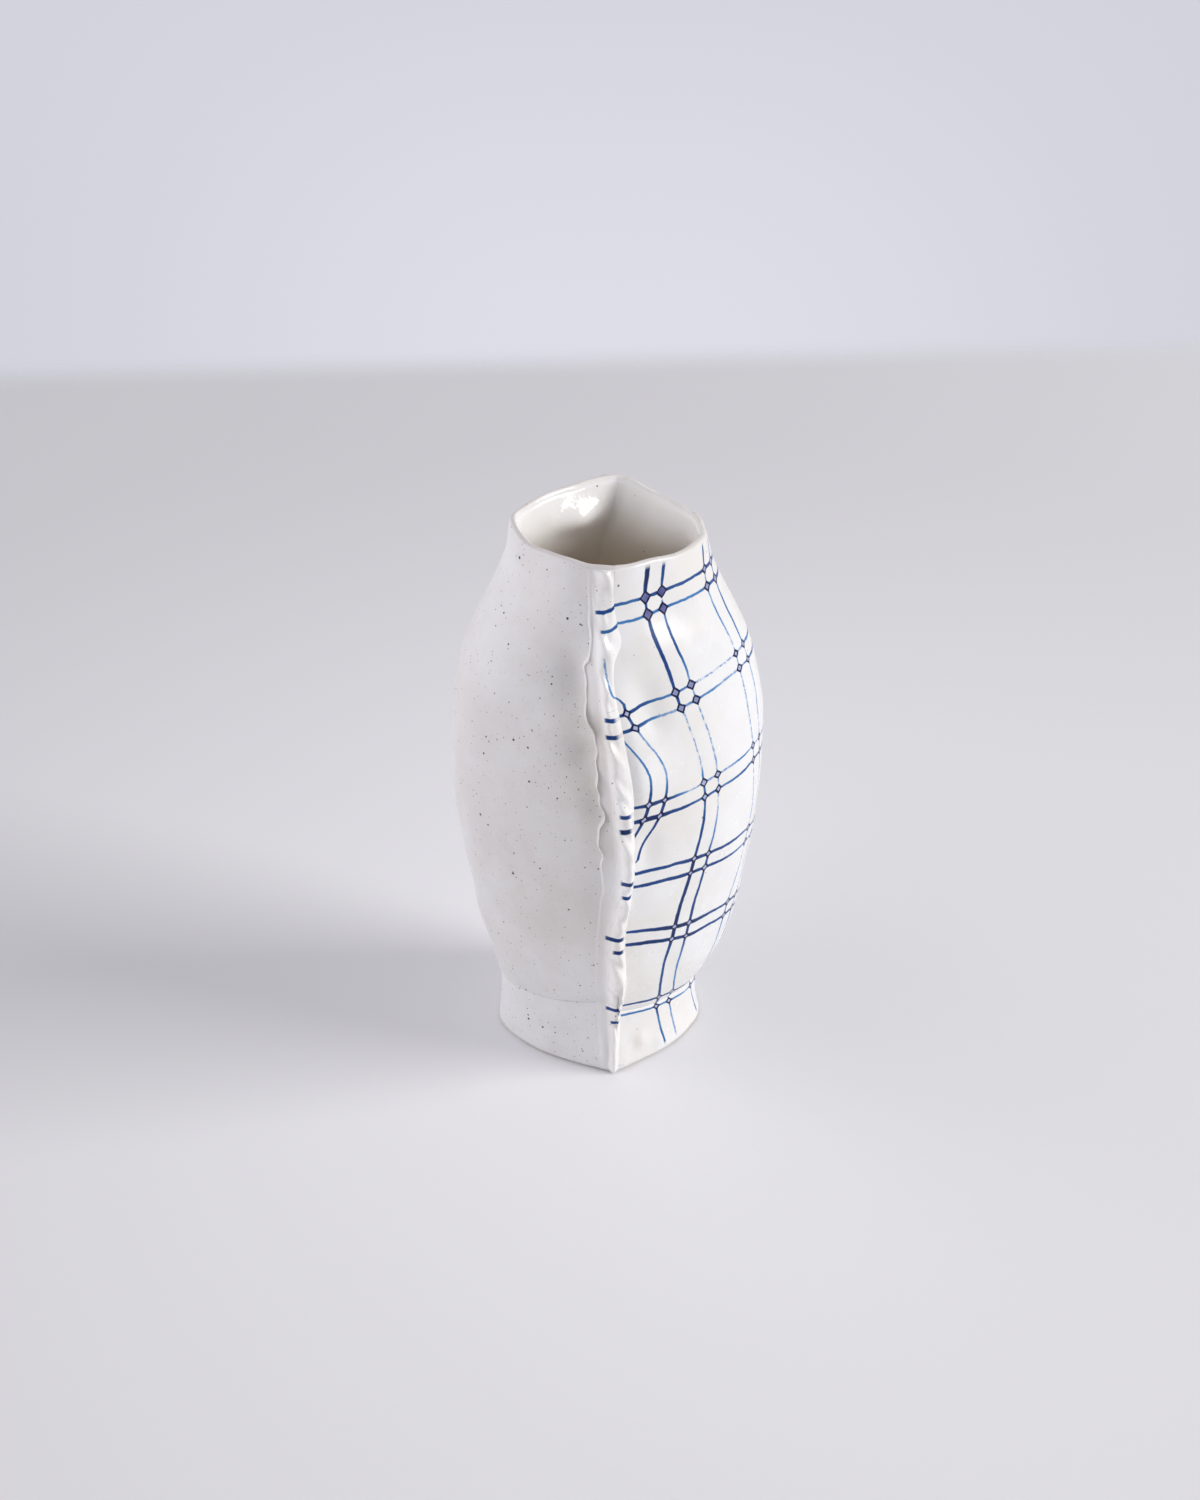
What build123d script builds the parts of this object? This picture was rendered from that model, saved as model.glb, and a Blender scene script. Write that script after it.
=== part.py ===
"""Pillow vase: two bulged clay slabs luted edge to edge over a flared foot, closed by a flat floor.

Millimetres, +Z up. The origin is the middle of the foot on the table. The two seams lie at -Y (front)
and +Y (rear). The plain slab bulges towards -X and the painted slab towards +X.
"""

import os
from collections import namedtuple
from math import cos, pi, sin

from build123d import *

# Heights, stacked from the table upwards
foot_height = 23.0
hip_rise = 17.0
flank_rise = 36.0
belly_rise = 36.0
shoulder_rise = 40.0
neck_rise = 36.0
lip_rise = 12.0

# How far the plain slab stands out from the seam plane at each level
sole_plain = 37.5
waist_plain = 36.5
hip_plain = 41.5
flank_plain = 49.0
belly_plain = 52.0
shoulder_plain = 48.0
neck_plain = 32.0
lip_plain = 29.0

# How far the painted slab stands out from the seam plane at each level
sole_painted = 37.5
waist_painted = 35.5
hip_painted = 47.0
flank_painted = 55.0
belly_painted = 57.5
shoulder_painted = 52.5
neck_painted = 37.5
lip_painted = 36.0

# How far each seam stands from the middle at each level
sole_seam = 38.5
waist_seam = 37.5
hip_seam = 43.0
flank_seam = 47.5
belly_seam = 51.0
shoulder_seam = 48.5
neck_seam = 39.0
lip_seam = 36.0

# Sideways wander of the seams, towards the painted slab where positive
belly_front_drift = 3.0
lip_front_drift = -3.5
lip_rear_drift = 8.0

# Clay thicknesses
wall = 3.2
floor_thickness = 5.0
floor_coil = 4.0
slip_layer = 0.2

# Lip: highest over the plain slab, lower at the seams and lowest over the painted slab, rounded by finger
seam_lip_dip = 1.5
painted_lip_dip = 4.0
lip_round = 1.2

# Pinched seam strips
strip_width = 12.0
strip_end_width = 6.5
strip_proud = 3.4
strip_end_proud = 1.4
strip_lip_gap = 3.0
strip_sole_gap = 1.5
pinch_pitch = 19.0
pinch_sway = 1.3
pinch_swell = 0.12

# Shape of a slab's outline: 1 is an ellipse, 2 a pair of parabolas with sharp seams
outline_exponent = 1.75
outline_spans = 8
seam_thickening = 1.25
panel_sections = 12
sections_per_pinch = 5
coil_feather = 0.6

PLAIN, PAINTED = -1, 1
FRONT, REAR = -1, 1

hip_height = foot_height + hip_rise
flank_height = hip_height + flank_rise
belly_height = flank_height + belly_rise
shoulder_height = belly_height + shoulder_rise
neck_height = shoulder_height + neck_rise
vase_height = neck_height + lip_rise

Level = namedtuple("Level", "height plain painted seam front_drift rear_drift")


def named_level(height, plain, painted, seam, front_drift):
    """A level of the vase; the rear seam leans over more and more towards the lip."""
    return Level(height, plain, painted, seam, front_drift, lip_rear_drift * (height / vase_height) ** 3)


sole = named_level(0, sole_plain, sole_painted, sole_seam, 0)
waist = named_level(foot_height, waist_plain, waist_painted, waist_seam, belly_front_drift / 4)
hip = named_level(hip_height, hip_plain, hip_painted, hip_seam, belly_front_drift / 3)
flank = named_level(flank_height, flank_plain, flank_painted, flank_seam, belly_front_drift * 2 / 3)
belly = named_level(belly_height, belly_plain, belly_painted, belly_seam, belly_front_drift)
shoulder = named_level(shoulder_height, shoulder_plain, shoulder_painted, shoulder_seam, lip_front_drift / 2)
neck = named_level(neck_height, neck_plain, neck_painted, neck_seam, lip_front_drift * 5 / 6)
lip = named_level(vase_height, lip_plain, lip_painted, lip_seam, lip_front_drift)

body = [waist, hip, flank, belly, shoulder, neck, lip]


def slopes(low, high):
    """How fast each size grows with height from one level to another."""
    return [(b - a) / (high.height - low.height) for a, b in zip(low, high)]


def smooth(a, b, rise, fall, t):
    """A cubic from a to b that leaves with one slope and arrives with another."""
    leaving = (1 - t) ** 2 * ((1 + 2 * t) * a + t * rise)
    arriving = t**2 * ((3 - 2 * t) * b - (1 - t) * fall)
    return leaving + arriving


def level_at(height):
    """The level at any height: straight up the foot, then on smooth curves through the body's levels."""
    if height <= foot_height:
        return Level(*(a + slope * height for a, slope in zip(sole, slopes(sole, waist))))
    if height >= vase_height:
        return lip._replace(height=height)
    span = max(i for i, level in enumerate(body) if level.height <= height)
    low, high = body[span], body[span + 1]
    leaving = slopes(body[max(span - 1, 0)], high)
    arriving = slopes(low, body[min(span + 2, len(body) - 1)])
    gap = high.height - low.height
    t = (height - low.height) / gap
    return Level(*(smooth(a, b, p * gap, q * gap, t) for a, b, p, q in zip(low, high, leaving, arriving)))


def outline(level, side, inset):
    """Points of one slab's face, from the front seam round to the rear seam, set in from the outer face."""
    reach = (level.plain if side == PLAIN else level.painted) - inset
    depth = level.seam - inset * seam_thickening
    points = []
    for i in range(outline_spans + 1):
        turn = pi * i / outline_spans
        rearward = (1 - cos(turn)) / 2
        drift = level.front_drift + (level.rear_drift - level.front_drift) * rearward
        fullness = sin(turn) ** outline_exponent if 0 < i < outline_spans else 0
        points.append((drift * (1 - fullness) + side * reach * fullness, -depth * cos(turn)))
    return points


def slab_section(level, side):
    """Cut through one slab: its outer and inner faces, and the butt faces where it meets the other slab."""
    with BuildSketch(Plane.XY.offset(level.height)) as section:
        with BuildLine():
            outer = Spline(*outline(level, side, 0))
            inner = Spline(*outline(level, side, wall))
            Line(outer @ 0, inner @ 0)
            Line(outer @ 1, inner @ 1)
        make_face()
    return section.sketch


def whole_section(level, inset):
    """The whole vase at one level as one filled outline, set in from its outer face."""
    with BuildSketch(Plane.XY.offset(level.height)) as section:
        with BuildLine():
            Spline(*outline(level, PLAIN, inset))
            Spline(*outline(level, PAINTED, inset))
        make_face()
    return section.sketch


def lip_edges(slab):
    """The outer and inner edges of a slab's lip."""
    return slab.faces().sort_by(Axis.Z)[-1].edges().sort_by(SortBy.LENGTH)[-2:]


# Clay above the lip, cut away along a line that falls towards the painted slab
trim_height = vase_height + painted_lip_dip
with BuildPart() as lip_waste:
    with BuildSketch(Plane.XZ):
        with BuildLine():
            lip_line = Spline(
                (-lip_plain, vase_height),
                (0, vase_height - seam_lip_dip),
                (lip_painted, vase_height - painted_lip_dip),
            )
            Polyline(
                lip_line @ 0,
                (-belly_plain, vase_height),
                (-belly_plain, trim_height + lip_rise),
                (belly_painted, trim_height + lip_rise),
                (belly_painted, vase_height - painted_lip_dip),
                lip_line @ 1,
            )
        make_face()
    extrude(amount=belly_seam, both=True)

# Slabs
panel_step = (trim_height - foot_height) / panel_sections
panel_levels = [level_at(foot_height + panel_step * i) for i in range(panel_sections + 1)]

with BuildPart() as plain_panel:
    loft([slab_section(level, PLAIN) for level in panel_levels])
    add(lip_waste.part, mode=Mode.SUBTRACT)
    fillet(lip_edges(plain_panel), lip_round)
plain_panel.part.label = "plain_panel"

with BuildPart() as painted_panel:
    loft([slab_section(level, PAINTED) for level in panel_levels])
    add(lip_waste.part, mode=Mode.SUBTRACT)
    fillet(lip_edges(painted_panel), lip_round)
painted_panel.part.label = "painted_panel"

# Foot bands
with BuildPart() as plain_foot_band:
    loft([slab_section(level, PLAIN) for level in (sole, waist)])
plain_foot_band.part.label = "plain_foot_band"

with BuildPart() as painted_foot_band:
    loft([slab_section(level, PAINTED) for level in (sole, waist)])
painted_foot_band.part.label = "painted_foot_band"

# Floor, flush with the foot
with BuildPart() as foot_inside:
    loft([whole_section(level, wall) for level in (sole, waist)])

with BuildPart() as floor_slab:
    add(foot_inside.part)
    split(bisect_by=Plane.XY.offset(floor_thickness), keep=Keep.BOTTOM)
floor_slab.part.label = "floor_slab"

# Coil pressed into the corner between the floor and the foot
coil_height = floor_thickness + floor_coil
with BuildPart() as floor_coil_ring:
    add(foot_inside.part)
    split(bisect_by=Plane.XY.offset(floor_thickness))
    split(bisect_by=Plane.XY.offset(coil_height), keep=Keep.BOTTOM)
    loft(
        [
            whole_section(level_at(floor_thickness), wall + floor_coil),
            whole_section(level_at(coil_height), wall + coil_feather),
        ],
        mode=Mode.SUBTRACT,
    )
floor_coil_ring.part.label = "floor_coil"


def strip_sections(facing):
    """Ovals up one seam: widest over the belly, swaying and swelling at each finger pinch."""
    strip_height = vase_height - strip_lip_gap - strip_sole_gap
    count = round(strip_height / pinch_pitch * sections_per_pinch)
    sections = []
    for i in range(count + 1):
        share = i / count
        level = level_at(strip_sole_gap + strip_height * share)
        drift = level.front_drift if facing == FRONT else level.rear_drift
        fullness = sin(pi * share)
        pinch = 2 * pi * strip_height * share / pinch_pitch
        width = strip_end_width + (strip_width - strip_end_width) * fullness
        proud = strip_end_proud + (strip_proud - strip_end_proud) * fullness
        swell = 1 + pinch_swell * sin(pinch / 2)
        with BuildSketch(Plane.XY.offset(level.height)) as section:
            with Locations((drift + pinch_sway * fullness * sin(pinch), facing * level.seam)):
                Ellipse(width * swell / 2, proud * swell)
        sections.append(section.sketch)
    return sections


# Seam strips, bedded on slip
with BuildPart() as strip_seat:
    loft([whole_section(level, -slip_layer) for level in (sole, waist)])
    loft([whole_section(level, -slip_layer) for level in panel_levels])

with BuildPart() as front_seam_strip:
    loft(strip_sections(FRONT))
    add(strip_seat.part, mode=Mode.SUBTRACT)
front_seam_strip.part.label = "front_seam_strip"

with BuildPart() as rear_seam_strip:
    loft(strip_sections(REAR))
    add(strip_seat.part, mode=Mode.SUBTRACT)
rear_seam_strip.part.label = "rear_seam_strip"

pieces = [
    plain_panel,
    painted_panel,
    plain_foot_band,
    painted_foot_band,
    floor_slab,
    floor_coil_ring,
    front_seam_strip,
    rear_seam_strip,
]
os.makedirs("parts", exist_ok=True)
for piece in pieces:
    export_step(piece.part, f"parts/{piece.part.label}.step")
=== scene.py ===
import bmesh
import bpy
import numpy as np
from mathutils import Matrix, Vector


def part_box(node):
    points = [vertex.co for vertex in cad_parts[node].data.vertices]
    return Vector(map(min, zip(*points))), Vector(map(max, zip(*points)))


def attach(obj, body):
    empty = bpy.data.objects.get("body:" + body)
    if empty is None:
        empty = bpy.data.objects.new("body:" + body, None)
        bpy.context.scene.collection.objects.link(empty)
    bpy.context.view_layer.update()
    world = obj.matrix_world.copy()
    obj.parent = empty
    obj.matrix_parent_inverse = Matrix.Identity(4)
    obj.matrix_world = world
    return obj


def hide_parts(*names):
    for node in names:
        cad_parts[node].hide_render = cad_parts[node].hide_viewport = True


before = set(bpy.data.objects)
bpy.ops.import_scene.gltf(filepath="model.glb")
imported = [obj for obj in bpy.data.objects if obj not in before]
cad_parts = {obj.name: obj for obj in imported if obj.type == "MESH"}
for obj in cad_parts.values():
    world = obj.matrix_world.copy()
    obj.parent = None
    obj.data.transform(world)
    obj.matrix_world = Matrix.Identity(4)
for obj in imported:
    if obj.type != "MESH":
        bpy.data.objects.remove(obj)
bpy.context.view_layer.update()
print("frame loaded:", ", ".join(sorted(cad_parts)))

mm = 0.001  # every size below is in millimetres until a mesh is made
plainSide, paintedSide = -1, 1
frontSeam, rearSeam = -1, 1


# The body's sizes, read from level cuts through the frame's slabs

bodyCuts = {
    "footCuts": 6,
    "panelCuts": 60,
    "edgeGap": 0.6,  # kept clear of a slab's ends
    "lipGap": 6.5,  # the lip slopes, so the cuts stop this far below its top
    "panelDegree": 9,  # degree of the smooth curve through the cuts
}


def levelCuts(nodeName, heights):
    # each edge crossed by a level plane gives one point, by linear shares of the edge's two ends
    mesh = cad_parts[nodeName].data
    co = np.empty(len(mesh.vertices) * 3)
    mesh.vertices.foreach_get("co", co)
    co = co.reshape(-1, 3) / mm
    ends = np.empty(len(mesh.edges) * 2, int)
    mesh.edges.foreach_get("vertices", ends)
    low, high = co[ends[0::2]], co[ends[1::2]]
    plane = heights[:, None]
    crossed = (low[:, 2] - plane) * (high[:, 2] - plane) < 0
    share = (plane - low[:, 2]) / np.where(crossed, high[:, 2] - low[:, 2], 1)
    x = np.where(crossed, low[:, 0] + share * (high[:, 0] - low[:, 0]), np.nan)
    y = np.where(crossed, low[:, 1] + share * (high[:, 1] - low[:, 1]), np.nan)
    return x, y


def curveThrough(heights, values, degree):
    # least-squares polynomial of the height, carried on straight past both ends
    fit = np.polynomial.Chebyshev.fit(heights, values, degree)
    slope = fit.deriv()

    def curve(z):
        inside = np.clip(z, heights[0], heights[-1])
        return fit(inside) + slope(inside) * (z - inside)

    return curve


def readSlabs(plainNode, paintedNode, heights, degree):
    # reach is the farthest point from the seam plane; each seam is the foremost or rearmost point
    plainX, plainY = levelCuts(plainNode, heights)
    paintedX, paintedY = levelCuts(paintedNode, heights)
    rows = np.arange(len(heights))
    foremost, rearmost = np.nanargmin(plainY, axis=1), np.nanargmax(plainY, axis=1)
    sizes = {
        "plainReach": np.nanmax(-plainX, axis=1),
        "paintedReach": np.nanmax(paintedX, axis=1),
        "frontSeam": -plainY[rows, foremost],
        "rearSeam": plainY[rows, rearmost],
        "frontDrift": plainX[rows, foremost],
        "rearDrift": plainX[rows, rearmost],
    }
    return {name: curveThrough(heights, values, degree) for name, values in sizes.items()}


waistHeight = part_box("plain_foot_band")[1].z / mm
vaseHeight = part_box("plain_panel")[1].z / mm
gap = bodyCuts["edgeGap"]
footSizes = readSlabs(
    "plain_foot_band", "painted_foot_band",
    np.linspace(gap, waistHeight - gap, bodyCuts["footCuts"]), 1,
)
panelSizes = readSlabs(
    "plain_panel", "painted_panel",
    np.linspace(waistHeight + gap, vaseHeight - bodyCuts["lipGap"], bodyCuts["panelCuts"]),
    bodyCuts["panelDegree"],
)
print("slabs read: waist %.1f mm, lip %.1f mm" % (waistHeight, vaseHeight))


def sizeAt(name, z):
    # foot curve below the waist, panel curve above it
    return np.where(z < waistHeight, footSizes[name](z), panelSizes[name](z))


def easeIn(share):
    # smooth step from 0 to 1
    share = np.clip(share, 0, 1)
    return share * share * (3 - 2 * share)


def smoothList(heights, values, z):
    # cubic through the listed values, with the slope at each from its two neighbours
    heights, values = np.asarray(heights, float), np.asarray(values, float)
    slope = np.gradient(values, heights)
    i = np.clip(np.searchsorted(heights, z, side="right") - 1, 0, len(heights) - 2)
    span = heights[i + 1] - heights[i]
    t = np.clip((z - heights[i]) / span, 0, 1)
    leaving = (1 - t) ** 2 * ((1 + 2 * t) * values[i] + t * span * slope[i])
    arriving = t ** 2 * ((3 - 2 * t) * values[i + 1] - (1 - t) * span * slope[i + 1])
    return leaving + arriving


# The hand-built form that both slabs share

slabForm = {
    "wall": 3.2,
    "seamThickening": 1.25,
    "pinchHeights": (0, 60, 150, 185, 202),  # how sharply the slabs meet there, 1 is an ellipse
    "plainPinch": ((1.85, 1.75, 1.75, 1.5, 1.15), (1.85, 1.75, 1.75, 1.7, 1.65)),  # front, rear
    "paintedPinch": ((1.8, 1.75, 1.75, 1.7, 1.45), (1.8, 1.75, 1.75, 1.85, 1.9)),
    "frontLipEase": 2.2,  # the corners of the lip stand this far towards the painted slab
    "rearLipEase": 3.2,
    "lipEaseStart": 172.0,
    "plainWaistLift": (8.5, 0.75),  # the crease rides up towards the front seam: rise, spread of turn
    "paintedWaistLift": (3.5, 0.55),
    "waistSink": 2.5,  # and sinks round the painted slab
    "waistFade": 17.0,
    "seamFillet": 0.5,  # clay smoothed into the inner corners
    "seamFilletSpread": 0.2,
    "seamFade": 4.0,  # hand marks die away this steeply at the seams
    "innerStart": 2.0,  # swellings of the inner face start this deep in the wall
    "innerFade": 1.2,
    # finger dents and swellings: turn, height, spread of turn, spread of height, depth
    "plainDents": (
        (0.47, 162, 0.17, 10, -4.6),
        (0.44, 138, 0.14, 7, -4.2),
        (0.38, 119, 0.11, 8, -2.4),
        (0.34, 84, 0.12, 12, -1.2),
        (0.62, 182, 0.3, 9, 1.0),
        (0.95, 58, 0.5, 14, -0.6),
        (1.60, 36, 0.7, 7, -0.6),
        (1.75, 52, 0.5, 6, 0.7),
        (1.70, 66, 0.5, 6, -0.5),
        (2.62, 188, 0.24, 6, -1.2),
        (0.30, 8, 0.08, 4, 0.9),
    ),
    "paintedDents": (
        (0.27, 132, 0.17, 14, 2.4),
        (0.40, 156, 0.14, 8, -1.6),
        (0.55, 172, 0.22, 9, 1.2),
        (0.30, 100, 0.12, 9, -1.2),
        (0.85, 140, 0.25, 14, 0.7),
        (0.75, 64, 0.30, 16, 0.5),
        (1.20, 176, 0.35, 10, -0.7),
        (0.82, 164, 0.28, 8, 0.8),
        (0.78, 180, 0.26, 7, -0.6),
        (0.45, 148, 0.10, 6, -1.0),
        (1.57, 201, 0.90, 6, -1.4),
        (0.52, 9, 0.07, 3, 0.9),
        (0.74, 5, 0.06, 2.5, 0.7),
    ),
    # swellings of the inner face where the walls were pressed in: turn, height, spreads, depth
    "plainInner": (
        (2.62, 190, 0.26, 4.8, 3.0), (2.6, 178, 0.32, 9.0, 1.0), (1.2, 182, 0.3, 7.0, 0.8),
    ),
    "paintedInner": ((2.35, 180, 0.3, 9.0, 0.9), (1.5, 186, 0.4, 7.0, 0.6)),
    # slow unevenness of a rolled slab: size, waves round, waves up, start
    "plainWaves": ((0.35, 1.7, 2.3, 0.4), (0.22, 3.1, 4.1, 1.9), (0.12, 5.3, 7.0, 2.6)),
    "paintedWaves": (
        (0.35, 2.1, 2.0, 1.3), (0.22, 3.7, 3.6, 0.2), (0.16, 6.1, 8.3, 2.9), (0.1, 9.0, 14.0, 1.1),
    ),
}


def patchSum(patches, turn, z):
    # sum of gaussian patches, each with its own turn, height, spreads and amount
    total = np.zeros(np.broadcast(turn, z).shape)
    for patchTurn, patchHeight, spreadTurn, spreadHeight, amount in patches:
        away = ((turn - patchTurn) / spreadTurn) ** 2 + ((z - patchHeight) / spreadHeight) ** 2
        total += amount * np.exp(-away)
    return total


def handForm(side, turn, z):
    # finger marks and slow cosine waves that die away at both seams
    name = "plain" if side == plainSide else "painted"
    offset = patchSum(slabForm[name + "Dents"], turn, z)
    for size, wavesRound, wavesUp, start in slabForm[name + "Waves"]:
        wave = np.cos(wavesRound * turn * 2 + wavesUp * np.pi * z / vaseHeight + start)
        offset += size * wave * np.sin(turn)
    return offset * np.clip(np.sin(turn) * slabForm["seamFade"], 0, 1)


def waistShift(side, turn, z):
    # the crease rides up at the front seam and sinks round the painted slab; it fades above and below
    rise, spread = slabForm["plainWaistLift" if side == plainSide else "paintedWaistLift"]
    lift = rise * np.exp(-((turn / spread) ** 2))
    if side == paintedSide:
        lift = lift - slabForm["waistSink"] * np.sin(turn) ** 2
    above = np.exp(-(np.clip(z - waistHeight, 0, None) / slabForm["waistFade"]) ** 2)
    below = np.clip(z / waistHeight, 0, 1)
    return lift * above * below


def slabPoint(side, turn, z, inset):
    # x is the seam's drift eased into the slab's reach by sin(turn) to a power,
    # y runs from seam to seam as a cosine
    name = "plain" if side == plainSide else "painted"
    turn, z, inset = np.broadcast_arrays(turn, z, inset)
    rearward = (1 - np.cos(turn)) / 2
    front, rear = (np.interp(z, slabForm["pinchHeights"], pinch) for pinch in slabForm[name + "Pinch"])
    fullness = np.clip(np.sin(turn), 0, 1) ** (front * (1 - rearward) + rear * rearward)
    start = slabForm["lipEaseStart"]
    ease = easeIn((z - start) / (vaseHeight - start))
    frontDrift = sizeAt("frontDrift", z) + slabForm["frontLipEase"] * ease
    rearDrift = sizeAt("rearDrift", z) + slabForm["rearLipEase"] * ease
    drift = frontDrift * (1 - rearward) + rearDrift * rearward
    seam = sizeAt("frontSeam", z) * (1 - rearward) + sizeAt("rearSeam", z) * rearward
    corner = np.exp(-(np.sin(turn) / slabForm["seamFilletSpread"]) ** 2)
    corner = corner * np.clip(inset / slabForm["wall"], 0, 1)
    x = drift * (1 - fullness) + side * (sizeAt(name + "Reach", z) - inset) * fullness
    y = -(seam - inset * slabForm["seamThickening"] - slabForm["seamFillet"] * corner) * np.cos(turn)
    depth = (inset - slabForm["innerStart"]) / slabForm["innerFade"]
    inner = patchSum(slabForm[name + "Inner"], turn, z) * np.clip(depth, 0, 1)
    push = (handForm(side, turn, z) - inner) / np.hypot(x, y)
    return np.stack([x * (1 + push), y * (1 + push), z + waistShift(side, turn, z)], -1)


# Mesh helpers

def gridFaces(rows, columns, closeRows, closeColumns):
    # one quad per cell of a grid of points, wrapped round where a direction is closed
    down = np.arange(rows if closeRows else rows - 1)[:, None]
    across = np.arange(columns if closeColumns else columns - 1)[None, :]
    nextDown, nextAcross = (down + 1) % rows, (across + 1) % columns
    corners = (down, across), (down, nextAcross), (nextDown, nextAcross), (nextDown, across)
    return np.stack([(r * columns + c) * np.ones_like(down * across) for r, c in corners], -1).reshape(-1, 4)


def capFans(rows, columns):
    # triangles from the first and the last row to one pole each, the poles listed after the grid
    around = np.arange(columns)
    poles = (0, rows * columns), ((rows - 1) * columns, rows * columns + 1)
    return np.concatenate([
        np.stack([start + around, start + (around + 1) % columns, np.full(columns, pole)], -1)
        for start, pole in poles
    ])


def addObject(name, data):
    item = bpy.data.objects.new(name, data)
    bpy.context.scene.collection.objects.link(item)
    return item


def makePiece(name, points, quads, triangles=(), uv=None, values=None, sharpLoops=()):
    # the arrays go straight into the mesh; faces are then turned outwards on the closed shell
    points = np.asarray(points, float).reshape(-1, 3) * mm
    triangles = np.asarray(triangles, int).reshape(-1, 3)
    mesh = bpy.data.meshes.new(name)
    mesh.vertices.add(len(points))
    mesh.vertices.foreach_set("co", points.ravel())
    corners = np.concatenate([quads.ravel(), triangles.ravel()])
    mesh.loops.add(len(corners))
    mesh.loops.foreach_set("vertex_index", corners)
    starts = np.concatenate([np.arange(len(quads)) * 4, quads.size + np.arange(len(triangles)) * 3])
    mesh.polygons.add(len(starts))
    mesh.polygons.foreach_set("loop_start", starts)
    mesh.update(calc_edges=True)
    shell = bmesh.new()
    shell.from_mesh(mesh)
    bmesh.ops.recalc_face_normals(shell, faces=shell.faces)
    shell.to_mesh(mesh)
    shell.free()
    mesh.polygons.foreach_set("use_smooth", np.ones(len(mesh.polygons), bool))
    if uv is not None:
        layer = mesh.uv_layers.new(name="checkMap")
        order = np.empty(len(mesh.loops), int)
        mesh.loops.foreach_get("vertex_index", order)
        layer.uv.foreach_set("vector", uv.reshape(-1, 2)[order].ravel())
    for key, value in (values or {}).items():
        attribute = mesh.attributes.new(key, "FLOAT", "POINT")
        attribute.data.foreach_set("value", np.asarray(value, np.float32).ravel())
    if len(sharpLoops):
        onLoop = np.zeros(len(points), int)
        for number, loop in enumerate(sharpLoops):
            onLoop[loop] = number + 1
        ends = np.empty(len(mesh.edges) * 2, int)
        mesh.edges.foreach_get("vertices", ends)
        first, second = onLoop[ends[0::2]], onLoop[ends[1::2]]
        sharp = mesh.attributes.new("sharp_edge", "BOOLEAN", "EDGE")
        sharp.data.foreach_set("value", (first == second) & (first > 0))
    return addObject(name, mesh)


def setFaceMaterials(piece, materials, faceIndex):
    for material in materials:
        piece.data.materials.append(material)
    piece.data.polygons.foreach_set("material_index", np.asarray(faceIndex, np.int32))
    piece.data.update()


def settle(piece, node):
    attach(piece, "root")
    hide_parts(node)
    print("made", piece.name, "with", len(piece.data.polygons), "faces")


# Painted check: where its lines run over the painted slab

check = {
    "pitch": 28.0,  # one step of the map, in millimetres beside a line
    "window": 7.0,  # beside a line the map keeps true size this far
    "lineHeights": (0, 23, 35, 58, 86, 116, 136, 148, 157, 160, 176, 200),
    # turn of each upright pair at those heights, from the front seam round
    "uprights": (
        (-0.4, -0.4, -0.4, -0.4, -0.24, 0.36, 0.37, 0.19, 0.0, -0.06, -0.12, -0.4),
        (0.88, 0.76, 0.67, 0.66, 0.74, 0.80, 0.75, 0.71, 0.68, 0.67, 0.60, 0.56),
        (1.42, 1.27, 1.20, 1.17, 1.29, 1.28, 1.24, 1.21, 1.20, 1.20, 1.20, 1.27),
        (1.92, 1.80, 1.74, 1.73, 1.76, 1.79, 1.79, 1.77, 1.75, 1.75, 1.74, 1.79),
        (2.38, 2.31, 2.27, 2.25, 2.27, 2.31, 2.31, 2.29, 2.28, 2.28, 2.27, 2.31),
        (2.80, 2.76, 2.74, 2.72, 2.73, 2.75, 2.75, 2.74, 2.73, 2.73, 2.72, 2.75),
    ),
    # height of each level pair by the front seam, its rise over the visible reach and its bow at the seam
    "levels": (
        (27.5, -11.0, 0.0), (60.7, -6.0, 3.4), (89.2, -5.5, 0.6),
        (115.0, 3.0, 1.6), (150.0, 6.0, 0.0), (185.2, 0.0, 0.0),
    ),
    "visibleReach": 60.0,
    "bowReach": 16.0,
    "hiddenReach": 60.0,  # reach to one turn, for a line that runs in behind the seam
    # where the brush was wet or ran dry: turn, height, spreads, load
    "loads": (
        (0.50, 197, 0.07, 7, 0.9), (0.62, 172, 0.12, 16, 0.15), (0.68, 133, 0.12, 13, -1.0),
        (0.70, 72, 0.30, 18, 0.5), (1.05, 157, 0.25, 10, -0.45), (0.33, 116, 0.16, 10, 0.8),
        (0.38, 60, 0.32, 7, 0.55), (0.75, 12, 0.40, 9, -0.5), (1.22, 192, 0.15, 12, 0.4),
        (1.00, 112, 0.20, 8, -0.3), (1.25, 110, 0.15, 20, -0.2), (0.38, 87, 0.32, 5, 0.5),
        (0.30, 152, 0.20, 6, 0.35), (0.84, 133, 0.07, 14, 0.15), (0.52, 146, 0.16, 4, -0.5),
        (0.20, 101, 0.12, 8, 0.6), (0.50, 185, 0.50, 5, -0.3), (0.82, 42, 0.12, 14, 0.35),
        (0.90, 12, 0.14, 9, 0.35), (1.22, 168, 0.15, 14, 0.2), (0.96, 100, 0.12, 12, 0.2),
        (0.64, 197, 0.06, 7, 0.5), (0.70, 166, 0.06, 13, 0.25),
    ),
    # where the blots on the crossings grow large: turn, height, spreads, growth
    "knots": ((0.60, 186, 0.25, 9, 1.0), (0.72, 153, 0.20, 9, 0.5), (1.22, 184, 0.2, 9, 0.3)),
}


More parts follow.
